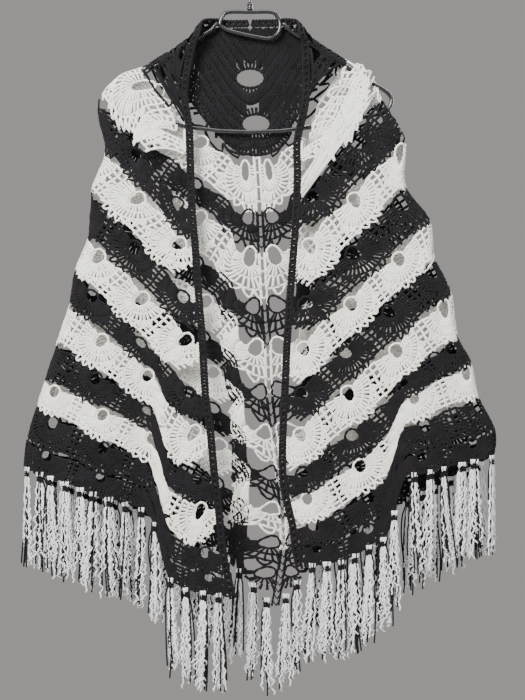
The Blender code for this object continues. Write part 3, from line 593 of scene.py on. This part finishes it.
def work_neck_gap(yarns, drop, rounds):
    """The rim of a big gap at the neck, with rounds of posts about it, behind the hanger."""
    random = np.random.default_rng(rounds)
    strands = []
    sweep = np.linspace(-180.0, 180.0, 60)

    def oval(grow, degrees):
        angle = np.radians(degrees)
        return np.stack([(NECK_GAP[0] + grow) * np.sin(angle), (NECK_GAP[1] + grow) * np.cos(angle)], -1)

    strands.append(chain_strand(oval(0.5, sweep), 2.2, 0.0))
    for number in range(rounds):
        low = NECK_ROUND * number
        count = int(2.0 * math.pi * (NECK_GAP[0] + low + NECK_ROUND / 2.0) / POST_PITCH)
        reach, used = (180.0, count) if number == 0 else (100.0, count * 5 // 9)
        for degrees in np.linspace(-reach, reach, used):
            head = oval(low + NECK_ROUND, degrees + random.uniform(-1.0, 1.0))
            strands.append(post_strand(oval(low, degrees), head, 1.8, 2.5, random))
        strands.append(chain_strand(oval(low + NECK_ROUND, sweep[17:43]), 2.0, 0.2))
    for strand in strands:
        x = (strand[:, 0] + NECK_LEAN * (drop - NECK_GAPS[0][0])) * MM
        centres = np.stack([x, TOP_DEPTH + (1.0 + strand[:, 2]) * MM, -(drop + strand[:, 1]) * MM], -1)
        normals = np.tile([0.0, 1.0, 0.0], (len(strand), 1))
        panel = "back_left" if x.mean() < 0.0 else "back_right"
        yarns[panel].add(centres[None], normals[None], strand[None, :, 3] * MM, strand[None, :, 4] * MM)


def work_lace():
    """All the fans and ladders, by panel and colour."""
    lace = {colour: {panel: Yarn(SIDES) for panel in PANELS} for colour in ("ivory", "black")}
    for number in range(1, BANDS + 1):
        colour = "ivory" if number in IVORY_BANDS else "black"
        yarns = lace[colour]
        band = number - 1 + HOLE_DROP / BAND_RISE
        for side in ("left", "right"):
            sign = -1.0 if side == "left" else 1.0
            for k, (along, pitch) in enumerate(fan_centres(side, number)):
                shape = local_shape(along, band)
                u_scale = pitch / (FAN_PITCH * MM)
                limits = (-1.0, -5.0 * MM) if side == "left" else (5.0 * MM, 1.0)
                strands = fan_strands(number * 40 + k * 2 + (side == "left"))
                strands += top_strands()
                strands += ladder_strands(sign, True) + ladder_strands(-sign, False)
                lay_strands(yarns, strands, along, band, u_scale, limits, shape, k == 0 and number > 2)
    lay_strands(lace["black"], neck_rows(), 0.0, 0.0)
    for drop, rounds in NECK_GAPS:
        work_neck_gap(lace["black"], drop, rounds)
    for number in range(3, BANDS + 1):
        colour = "ivory" if number in IVORY_BANDS else "black"
        work_spine(lace[colour], number)
    return lace


def work_spine(yarns, number):
    """The ladder down the centre back: two chains with bars between them."""
    top = number - 1
    strands = []
    for u in (-6.0, 6.0):
        strands.append(chain_strand([(u, -HOLE_DROP), (u, BAND_RISE - HOLE_DROP)], 1.7, 0.3))
    for share in (0.05, 0.3, 0.55, 0.8):
        v = share * BAND_RISE - HOLE_DROP
        strands.append(chain_strand([(-6.0, v), (6.0, v)], 1.4, 0.2))
    lay_strands(yarns, strands, 0.0, top + HOLE_DROP / BAND_RISE)


# Edging and fringe

def smooth_path(points, steps, closed=False):
    """Points on a smooth curve through the route's own points."""
    points = [np.asarray(point, float) for point in points]
    count = len(points)
    spans = count if closed else count - 1
    path = []
    for i in range(spans):
        p0 = points[(i - 1) % count] if closed or i > 0 else points[0]
        p1 = points[i]
        p2 = points[(i + 1) % count]
        p3 = points[(i + 2) % count] if closed or i + 2 < count else points[count - 1]
        for step in range(steps):
            u = step / steps
            path.append(0.5 * (2.0 * p1 + (p2 - p0) * u + (2.0 * p0 - 5.0 * p1 + 4.0 * p2 - p3) * u ** 2
                               + (3.0 * p1 - p0 - 3.0 * p2 + p3) * u ** 3))
    if not closed:
        path.append(points[-1])
    return np.array(path)


def long_edge(side):
    """The long edge from the centre back over the arm to the front tip: points and outward directions."""
    sign = -1.0 if side == "left" else 1.0
    back = "back_" + side
    front = "front_" + side
    backward = np.array([0.0, 1.0, 0.0])
    over = unit(np.array([sign * 0.5, 0.0, 0.85]))

    def at(panel, band, share):
        return panel_points(panel, np.array(band), np.array(share))

    path = [(at(back, band, 1.0), backward, NECK_CLEARANCE) for band in (0.03, 0.25, 0.45)]
    path.append((at(back, 0.62, 1.0), unit(backward + over), NECK_CLEARANCE))
    path.append((at(front, FRONT_START, 1.0), over, NECK_CLEARANCE))
    path.append((at(front, 0.9, 0.0), unit(over - backward), NECK_CLEARANCE))
    path += [(at(front, band / 2.0, 0.0), -backward, SEAM_GAP * 1.6) for band in range(2, BANDS * 2 + 1)]
    centres, outs, ups = [], [], []
    for i, (point, normal, clearance) in enumerate(path):
        before = path[max(i - 1, 0)][0]
        after = path[min(i + 1, len(path) - 1)][0]
        forward = unit(after - before)
        outward = unit(np.cross(normal, forward)) * -sign
        centres.append(point + outward * (EDGING_HALF_WIDTH + clearance))
        outs.append(outward)
        ups.append(unit(np.cross(forward, outward)))
    return smooth_path(centres, 12), unit(smooth_path(outs, 12)), unit(smooth_path(ups, 12))


def resample(points, step, others=()):
    """Points at even steps along a route, and other columns at the same places."""
    lengths = np.concatenate([[0.0], np.cumsum(np.linalg.norm(np.diff(points, axis=0), axis=-1))])
    places = np.linspace(0.0, lengths[-1], max(int(lengths[-1] / step), 2) + 1)
    columns = (points,) + tuple(others)
    return [np.stack([np.interp(places, lengths, one[:, k]) for k in range(3)], -1) for one in columns]


def work_edging(side, material):
    """Two chains along the edge with slanting stitches between them."""
    centres, outs, ups = resample(*long_edge(side)[:1], 2.4 * MM, long_edge(side)[1:])
    outs, ups = unit(outs), unit(ups)
    yarn = Yarn(SIDES)
    count = len(centres)
    swell = 1.0 + 0.22 * np.where(np.arange(count) % 2, 1.0, -1.0)
    for offset, half in ((-3.6, 2.3), (3.6, 2.4)):
        line = centres + outs * offset * MM
        yarn.add(line[None], ups[None], (half * MM * swell)[None], (half * 0.9 * MM * swell)[None])
    posts, hints = [], []
    for i in range(0, count - 2, 2):
        start = centres[i] - outs[i] * 3.6 * MM
        end = centres[i + 1] + outs[i + 1] * 3.6 * MM
        share = np.linspace(0.0, 1.0, 4)[:, None]
        lifted = ups[i] * (np.sin(math.pi * share) * 1.2 * MM) * (1.0 if (i // 2) % 2 else -1.0)
        posts.append(start * (1.0 - share) + end * share + lifted)
        hints.append(np.tile(ups[i], (4, 1)))
    shape = (len(posts), 4)
    yarn.add(np.array(posts), np.array(hints), np.full(shape, 2.4 * MM), np.full(shape, 1.6 * MM))
    return yarn.build("lace_edging_" + side, [material], "yarn_black", ["edging_" + side])


def tassel_yarns(random, base, sideways, count, crinkly, sway):
    """Centre lines of the yarns of one tassel, from the hem down."""
    points = 36 if crinkly else 12
    share = np.linspace(0.0, 1.0, points)
    lines = []
    for _ in range(count):
        spread = random.normal(0.0, 1.0, 2)
        length = FRINGE_LENGTH * random.uniform(0.70, 1.0)
        knot = 8.0 * MM
        drop = -3.0 * MM + share * length
        pinch = 1.0 - 0.5 * np.exp(-((drop - knot) / (5.0 * MM)) ** 2)
        wide = (3.0 * MM + sway[1] * MM * smooth_step(drop, knot, FRINGE_LENGTH)) * pinch
        x = spread[0] * wide + sway[0] * MM * share ** 2
        y = np.clip(spread[1], -1.4, 1.4) * wide * (0.85 if crinkly else 0.6)
        if crinkly:
            phase = random.uniform(0.0, 6.28, 4)
            size = random.uniform(0.8, 2.0) * MM * smooth_step(drop, 9.0 * MM, 30.0 * MM)
            size = size * (0.7 + 0.8 * share)
            wave = 2.0 * math.pi * drop / (random.uniform(8.0, 15.0) * MM)
            slow = 2.0 * math.pi * drop / (random.uniform(19.0, 37.0) * MM)
            x = x + size * (np.sin(wave + phase[0]) + 0.9 * np.sin(slow + phase[2]))
            y = y + 0.8 * size * (np.cos(wave * 0.93 + phase[1]) + 0.5 * np.sin(slow + phase[3]))
        else:
            bend = random.normal(0.0, 2.2) * MM
            x = x + bend * np.sin(math.pi * share * random.uniform(0.8, 1.9))
        lines.append(base + np.outer(x, sideways) + np.stack([0.0 * x, y, -drop], -1))
    return np.array(lines)


def work_fringe(name, panel, first_share, last_share, materials, seed):
    random = np.random.default_rng(seed)
    length = float(row_length(panel, np.array(float(BANDS))))
    tassels = max(int((last_share - first_share) * length / TASSEL_PITCH + 0.5), 1)
    yarn = Yarn(4)
    for k in range(tassels):
        place = (k + 0.5 + random.uniform(-0.14, 0.14)) / tassels
        shares = first_share + (last_share - first_share) * place + np.array([0.0, 0.01, -0.01])
        base, ahead, behind = panel_points(panel, np.full(3, BANDS - 0.01), shares)
        sideways = unit((ahead - behind) * np.array([1.0, 1.0, 0.0]))
        sway = random.normal(0.0, 5.0), random.uniform(1.5, 4.5)
        for crinkly, count, half in ((True, 14, 1.2), (False, 7, 1.15)):
            lines = tassel_yarns(random, base, sideways, count, crinkly, sway)
            hints = np.broadcast_to(np.array([0.0, -1.0, 0.0]), lines.shape)
            width = np.full(lines.shape[:2], half * MM)
            yarn.add(lines, hints, width, width, 0 if crinkly else 1)
        knot_lines = []
        for turn in range(3):
            angle = np.linspace(-0.5, 2.0 * math.pi - 0.3, 9)
            ring = (base + np.outer(np.sin(angle) * 4.6 * MM, sideways)
                    + np.outer(np.cos(angle) * 3.8 * MM, [0.0, -1.0, 0.0])
                    - np.array([0.0, 0.0, 1.0]) * (4.0 + 2.7 * turn) * MM
                    - np.outer(angle * 0.3 * MM, [0.0, 0.0, 1.0]))
            knot_lines.append(ring)
        knots = np.array(knot_lines)
        hints = np.broadcast_to(np.array([0.0, 0.0, 1.0]), knots.shape)
        width = np.full(knots.shape[:2], 1.5 * MM)
        yarn.add(knots, hints, width, width, 1)
    return yarn.build("yarns_" + name, materials, "yarn_fringe", [name])


# Hanger

def wire(name, path, radius, closed, material, nodes):
    centres = np.asarray(path)[None]
    hints = np.broadcast_to(np.array([0.0, 1.0, 0.0]), centres.shape)
    yarn = Yarn(20)
    width = np.full(centres.shape[:2], radius)
    yarn.add(centres, hints, width, width, 0, closed)
    return yarn.build(name, [material], "hanger_gloss", nodes)


def on_plane(x, drop):
    return np.array([x, 0.0, -drop])


def build_hanger(material):
    start_x, start_drop = ARM_START
    butt = start_x + WIRE_RADIUS + SEAM_GAP
    ends = [on_plane(butt, start_drop), on_plane(butt + WIRE_RADIUS, start_drop + 0.3 * MM)]
    route = [on_plane(x, start_drop + (x - start_x) * ARM_SLOPE) for x in (0.058, 0.090, 0.130, 0.175)]
    tip = HANGER_HALF
    route += [on_plane(tip - 11.0 * MM, 0.1925), on_plane(tip - 1.5 * MM, 0.2015), on_plane(tip, 0.2105),
              on_plane(tip - 6.0 * MM, 0.2215), on_plane(tip - 19.0 * MM, 0.228)]
    route += [on_plane(0.150, 0.2365), on_plane(0.090, 0.248)]
    right = ends + list(smooth_path(route, 5))
    left = [point * np.array([-1.0, 1.0, 1.0]) for point in right]
    path = left + [on_plane(-0.045, 0.2533), on_plane(0.0, CROSSBAR_DROP), on_plane(0.045, 0.2533)]
    path += list(reversed(right))
    wire("wire_frame", path, WIRE_RADIUS, False, material, ["hanger_frame"])
    top = LOOP_TOP
    route = [on_plane(-0.031, top), on_plane(0.0, top), on_plane(0.031, top), on_plane(0.0405, 0.081),
             on_plane(start_x, start_drop), on_plane(0.042, 0.106), on_plane(0.029, 0.1145),
             on_plane(0.010, 0.1125), on_plane(-0.016, 0.107), on_plane(-0.036, 0.101),
             on_plane(-start_x, start_drop), on_plane(-0.0405, 0.081)]
    wire("wire_neck_loop", smooth_path(route, 8, True), WIRE_RADIUS, True, material, ["neck_loop"])
    centre = on_plane(0.0, HOOK_RADIUS - HOOK_WIRE_RADIUS)
    path = []
    for degrees in np.arange(HOOK_TIP_ANGLE, 201.0, 5.0):
        angle = math.radians(degrees)
        path.append(centre + np.array([-math.cos(angle), 0.0, math.sin(angle)]) * HOOK_RADIUS)
    stem = smooth_path([path[-1], on_plane(0.0145, 0.032), on_plane(0.006, 0.0415), on_plane(0.0, 0.050),
                        on_plane(0.0, FERRULE_TOP - SEAM_GAP)], 5)
    wire("wire_hook", path[:-1] + list(stem), HOOK_WIRE_RADIUS, False, material, ["hanger_hook"])
    bottom = LOOP_TOP - WIRE_RADIUS - SEAM_GAP
    profile = ((0.55, FERRULE_TOP), (0.75, FERRULE_TOP + 0.2 * MM), (0.95, FERRULE_TOP + 1.2 * MM),
               (1.0, FERRULE_TOP + 2.2 * MM), (0.86, FERRULE_TOP + 3.0 * MM), (0.86, bottom - 3.0 * MM),
               (1.0, bottom - 2.2 * MM), (1.0, bottom - 0.8 * MM), (0.9, bottom))
    drops = np.array([drop for _, drop in profile])
    radii = np.array([share * FERRULE_RADIUS for share, _ in profile])
    yarn = Yarn(28)
    centres = np.stack([0.0 * drops, 0.0 * drops, -drops], -1)[None]
    hints = np.broadcast_to(np.array([0.0, 1.0, 0.0]), centres.shape)
    yarn.add(centres, hints, radii[None], radii[None])
    yarn.build("collar", [material], "hanger_gloss", ["hook_ferrule"])


# Materials

def new_material(name):
    material = bpy.data.materials.new(name)
    material.use_nodes = True
    tree = material.node_tree
    return material, tree.nodes, tree.links, tree.nodes["Principled BSDF"]


def math_node(nodes, links, operation, *values):
    node = nodes.new("ShaderNodeMath")
    node.operation = operation
    for i, value in enumerate(values):
        if isinstance(value, (int, float)):
            node.inputs[i].default_value = value
        else:
            links.new(value, node.inputs[i])
    return node.outputs[0]


def yarn_material(name, dark, light, roughness, sheen, pitch=3.6 * MM):
    """Plied yarn: slanting plies from the tube's own places with painted shade in the grooves between them,
    loose fibres and slow changes of tone.
    """
    material, nodes, links, shader = new_material(name)
    coords = nodes.new("ShaderNodeTexCoord")
    places = nodes.new("ShaderNodeUVMap")
    places.uv_map = "yarn"
    split = nodes.new("ShaderNodeSeparateXYZ")
    links.new(places.outputs[0], split.inputs[0])
    along = math_node(nodes, links, "DIVIDE", split.outputs[1], pitch)
    turns = math_node(nodes, links, "MULTIPLY_ADD", split.outputs[0], 2.0, along)
    ply = math_node(nodes, links, "SINE", math_node(nodes, links, "MULTIPLY", turns, 2.0 * math.pi))
    fibre = nodes.new("ShaderNodeTexNoise")
    fibre.inputs["Scale"].default_value = 1400.0
    fibre.inputs["Detail"].default_value = 3.0
    links.new(coords.outputs["Object"], fibre.inputs["Vector"])
    tone = nodes.new("ShaderNodeTexNoise")
    tone.inputs["Scale"].default_value = 42.0
    tone.inputs["Detail"].default_value = 4.0
    links.new(coords.outputs["Object"], tone.inputs["Vector"])
    # The ply wave darkens one side of each ply in the colour: painted shade in the grooves between plies,
    # added to the random tone.
    tone_and_ply_shade = math_node(nodes, links, "MULTIPLY_ADD", ply, 0.16, tone.outputs["Fac"])
    tone_and_ply_shade = math_node(nodes, links, "MULTIPLY_ADD", fibre.outputs["Fac"], 0.35, tone_and_ply_shade)
    ramp = nodes.new("ShaderNodeValToRGB")
    ramp.color_ramp.elements[0].position = 0.35
    ramp.color_ramp.elements[0].color = (*dark, 1.0)
    ramp.color_ramp.elements[1].position = 0.85
    ramp.color_ramp.elements[1].color = (*light, 1.0)
    links.new(tone_and_ply_shade, ramp.inputs["Fac"])
    links.new(ramp.outputs["Color"], shader.inputs["Base Color"])
    height = math_node(nodes, links, "MULTIPLY_ADD", ply, 0.5, fibre.outputs["Fac"])
    bump = nodes.new("ShaderNodeBump")
    bump.inputs["Strength"].default_value = 0.7
    bump.inputs["Distance"].default_value = 0.35 * MM
    links.new(height, bump.inputs["Height"])
    links.new(bump.outputs["Normal"], shader.inputs["Normal"])
    shader.inputs["Roughness"].default_value = roughness
    shader.inputs["Specular IOR Level"].default_value = 0.25
    shader.inputs["Sheen Weight"].default_value = sheen
    shader.inputs["Sheen Roughness"].default_value = 0.5
    return material


def gloss_material():
    """Glossy black coating with faint unevenness and rubbed lighter places."""
    material, nodes, links, shader = new_material("hanger_gloss_black")
    coords = nodes.new("ShaderNodeTexCoord")
    flow = nodes.new("ShaderNodeTexNoise")
    flow.inputs["Scale"].default_value = 120.0
    flow.inputs["Detail"].default_value = 3.0
    links.new(coords.outputs["Object"], flow.inputs["Vector"])
    ramp = nodes.new("ShaderNodeValToRGB")
    ramp.color_ramp.elements[0].color = (0.006, 0.006, 0.008, 1.0)
    ramp.color_ramp.elements[1].color = (0.022, 0.022, 0.026, 1.0)
    links.new(flow.outputs["Fac"], ramp.inputs["Fac"])
    links.new(ramp.outputs["Color"], shader.inputs["Base Color"])
    rough = nodes.new("ShaderNodeMapRange")
    rough.inputs["To Min"].default_value = 0.14
    rough.inputs["To Max"].default_value = 0.3
    links.new(flow.outputs["Fac"], rough.inputs["Value"])
    links.new(rough.outputs["Result"], shader.inputs["Roughness"])
    bump = nodes.new("ShaderNodeBump")
    bump.inputs["Strength"].default_value = 0.15
    bump.inputs["Distance"].default_value = 0.2 * MM
    links.new(flow.outputs["Fac"], bump.inputs["Height"])
    links.new(bump.outputs["Normal"], shader.inputs["Normal"])
    shader.inputs["Coat Weight"].default_value = 0.6
    shader.inputs["Coat Roughness"].default_value = 0.12
    return material


def stage_material():
    material, _, _, shader = new_material("stage_plain")
    shader.inputs["Base Color"].default_value = (0.50, 0.47, 0.44, 1.0)
    shader.inputs["Roughness"].default_value = 0.9
    return material


# Stage, light and camera

PIXEL = 1.5 * MM  # one pixel of the photograph at the cloth
PHOTO_SIZE = (525, 700)
HOOK_PIXEL = (250.0, -38.0)  # the origin in the photograph's frame
CAMERA_DISTANCE = 2.3
VIEW_CENTRE = ((PHOTO_SIZE[0] / 2.0 - HOOK_PIXEL[0]) * PIXEL, -(PHOTO_SIZE[1] / 2.0 - HOOK_PIXEL[1]) * PIXEL)
FLOOR_DROP = 1.42


def build_stage():
    """A plain pale floor under the fringe, small enough to stay below the camera's view."""
    half = 1.15
    vertices = [(x, y, -FLOOR_DROP) for x, y in ((-half, -half), (half, -half), (half, half), (-half, half))]
    mesh = bpy.data.meshes.new("floor")
    mesh.from_pydata(vertices, [], [(0, 1, 2, 3)])
    mesh.materials.append(stage_material())
    floor = bpy.data.objects.new("floor", mesh)
    bpy.context.scene.collection.objects.link(floor)


def area_light(name, place, target, size, power, colour=(1.0, 1.0, 1.0)):
    light = bpy.data.lights.new(name, "AREA")
    light.shape = "RECTANGLE"
    light.size, light.size_y = size
    light.energy = power
    light.color = colour
    lamp = bpy.data.objects.new(name, light)
    bpy.context.scene.collection.objects.link(lamp)
    lamp.location = place
    aim = np.asarray(target) - np.asarray(place)
    lamp.rotation_euler = Vector(aim).to_track_quat("-Z", "Y").to_euler()


def build_light():
    middle = (0.0, 0.0, -0.6)
    area_light("key", (-1.1, -2.2, 0.7), middle, (1.1, 1.1), 150.0, (1.0, 0.98, 0.95))
    area_light("fill", (1.6, -1.9, -0.2), middle, (1.6, 1.6), 22.0, (0.96, 0.98, 1.0))
    area_light("top", (0.2, -0.4, 1.5), middle, (1.5, 1.0), 26.0)
    area_light("back", (0.9, 2.1, 0.5), middle, (1.4, 1.4), 45.0)
    world = bpy.data.worlds.new("soft_room")
    world.use_nodes = True
    world.node_tree.nodes["Background"].inputs["Color"].default_value = (0.88, 0.86, 0.84, 1.0)
    world.node_tree.nodes["Background"].inputs["Strength"].default_value = 0.38
    bpy.context.scene.world = world


def build_camera():
    camera = bpy.data.cameras.new("camera")
    camera.sensor_fit = "VERTICAL"
    camera.sensor_height = 24.0
    camera.lens = 24.0 * CAMERA_DISTANCE / (PHOTO_SIZE[1] * PIXEL)
    camera.clip_start = 0.05
    eye = bpy.data.objects.new("camera", camera)
    eye.location = (VIEW_CENTRE[0], -CAMERA_DISTANCE, VIEW_CENTRE[1])
    eye.rotation_euler = (math.pi / 2.0, 0.0, 0.0)
    bpy.context.scene.collection.objects.link(eye)
    bpy.context.scene.camera = eye


def cut_size(panel, numbers):
    """Flat area and longest row of some bands of a panel, as they were worked.

    A band is worked BAND_RISE high, and hangs lower than that where its folds gather it. At the neck the
    bands are stretched taller, and there the hung area counts.
    """
    area, widest = 0.0, 0.0
    for number in numbers:
        bands = np.linspace(max(number - 1.0, 0.82), number, 6)
        shares = np.linspace(0.0, 1.0, 25)
        rows = panel_points(panel, bands[:, None] + 0.0 * shares, shares + 0.0 * bands[:, None])
        across = np.cross(rows[1:, 1:] - rows[:-1, :-1], rows[:-1, 1:] - rows[1:, :-1])
        hung = float(np.linalg.norm(across, axis=-1).sum()) / 2.0
        worked = float(row_length(panel, np.array(number - 0.5))) * BAND_RISE * MM
        area += max(hung, worked)
        widest = max(widest, float(row_length(panel, np.array(float(number)))))
    return area, widest


def declare_sheets(pieces):
    """Work out how large the bands of each lace piece are when they lie flat, without passing the sizes on.
    """
    for (colour, panel), piece in pieces.items():
        numbers = [n for n in range(1, BANDS + 1) if (n in IVORY_BANDS) == (colour == "ivory")]
        area, widest = cut_size(panel, numbers)


def main():
    build_camera()
    build_stage()
    build_light()
    ivory = yarn_material("yarn_ivory", (0.78, 0.77, 0.70), (0.93, 0.93, 0.88), 0.9, 0.25)
    black = yarn_material("yarn_black_soft", (0.0022, 0.002, 0.0026), (0.009, 0.008, 0.010), 0.92, 0.03)
    white = yarn_material("yarn_fringe_crinkled", (0.74, 0.76, 0.79), (0.92, 0.93, 0.95), 0.8, 0.3)
    gloss = gloss_material()
    colours = {"ivory": ivory, "black": black}
    slots = {"ivory": "yarn_body", "black": "yarn_black"}
    lace = work_lace()
    pieces = {}
    for colour, yarns in lace.items():
        for panel, yarn in yarns.items():
            node = "shawl_back" if panel.startswith("back") else "shawl_" + panel
            title = f"lace_{panel}_{colour}"
            pieces[(colour, panel)] = yarn.build(title, [colours[colour]], slots[colour], [node])
    for side in ("left", "right"):
        work_edging(side, black)
    for i, (name, panel, first_share, last_share) in enumerate(FRINGES):
        work_fringe(name, panel, first_share, last_share, [white, black], 500 + i)
    build_hanger(gloss)
    declare_sheets(pieces)


main()
